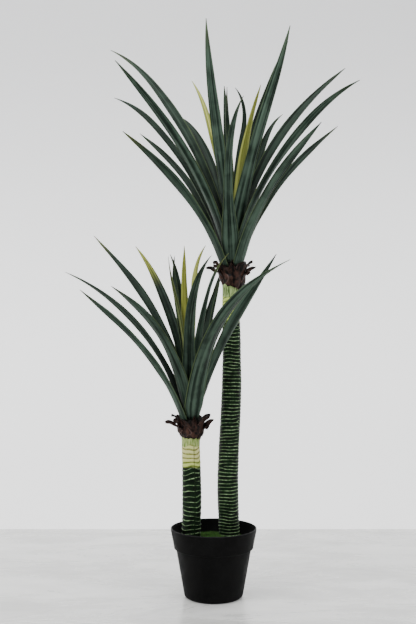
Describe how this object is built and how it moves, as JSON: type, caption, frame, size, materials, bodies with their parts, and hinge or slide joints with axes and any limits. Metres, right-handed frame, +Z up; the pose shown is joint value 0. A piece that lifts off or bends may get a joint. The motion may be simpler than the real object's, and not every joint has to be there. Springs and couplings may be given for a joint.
{
  "type": "potted yucca",
  "caption": "Indoor yucca with two ringed stems of unequal height, brown bract collars and rosettes of sword-shaped leaves, standing in a round black plastic pot.",
  "frame": {"origin": "centre of the pot's flat underside, on the surface it stands on", "axes": "+Z up along the pot's axis; -Y is the front, the side the picture was taken from; +X is to the right of the picture, the side of the tall stem"},
  "size_m": [0.6186, 0.5022, 1.177],
  "materials": {
    "pot_plastic": "matte black, fine grain",
    "soil": "dry crumb",
    "moss": "fuzzy",
    "stem": "ringed, satin",
    "leaf": "satin",
    "young_leaf": "satin",
    "bract": "dry, papery"
  },
  "bodies": {
    "root": {"pot": "pot_plastic", "soil": "soil", "moss": "moss", "tall_stem": "stem", "tall_leaf_left_front_low": "leaf", "tall_leaf_right_front_low": "leaf", "tall_leaf_left_back_low": "leaf", "tall_leaf_right_low": "leaf", "tall_leaf_back_low": "leaf", "tall_leaf_front": "leaf", "tall_leaf_left": "leaf", "tall_leaf_right_back_low": "leaf", "tall_leaf_left_front": "leaf", "tall_leaf_back_left": "leaf", "tall_leaf_right": "leaf", "tall_leaf_left_high": "leaf", "tall_leaf_right_back": "leaf", "tall_leaf_right_front_high": "leaf", "tall_leaf_back": "leaf", "tall_leaf_top": "leaf", "tall_leaf_right_inner": "leaf", "tall_leaf_young_left": "young_leaf", "tall_leaf_young_right": "young_leaf", "tall_leaf_hooked": "leaf", "tall_leaf_heart": "leaf", "tall_bract_left_front": "bract", "tall_bract_right_front": "bract", "tall_bract_right_back": "bract", "tall_bract_left_back": "bract", "tall_bract_front": "bract", "tall_bract_right": "bract", "tall_bract_back": "bract", "tall_bract_left": "bract", "short_stem": "stem", "short_leaf_left_front_low": "leaf", "short_leaf_back_low": "leaf", "short_leaf_right_front": "leaf", "short_leaf_left_low": "leaf", "short_leaf_right": "leaf", "short_leaf_left_back_low": "leaf", "short_leaf_front_left": "leaf", "short_leaf_right_back": "leaf", "short_leaf_left_high": "leaf", "short_leaf_front": "leaf", "short_leaf_back": "leaf", "short_leaf_thin_right": "leaf", "short_leaf_left": "leaf", "short_leaf_thin_left": "leaf", "short_leaf_young_right": "young_leaf", "short_leaf_back_inner": "leaf", "short_leaf_young_front": "young_leaf", "short_leaf_heart": "leaf", "short_bract_left_front": "bract", "short_bract_right_front": "bract", "short_bract_right_back": "bract", "short_bract_left_back": "bract", "short_bract_front": "bract", "short_bract_right": "bract", "short_bract_back": "bract", "short_bract_left": "bract"}
  },
  "joints": []
}
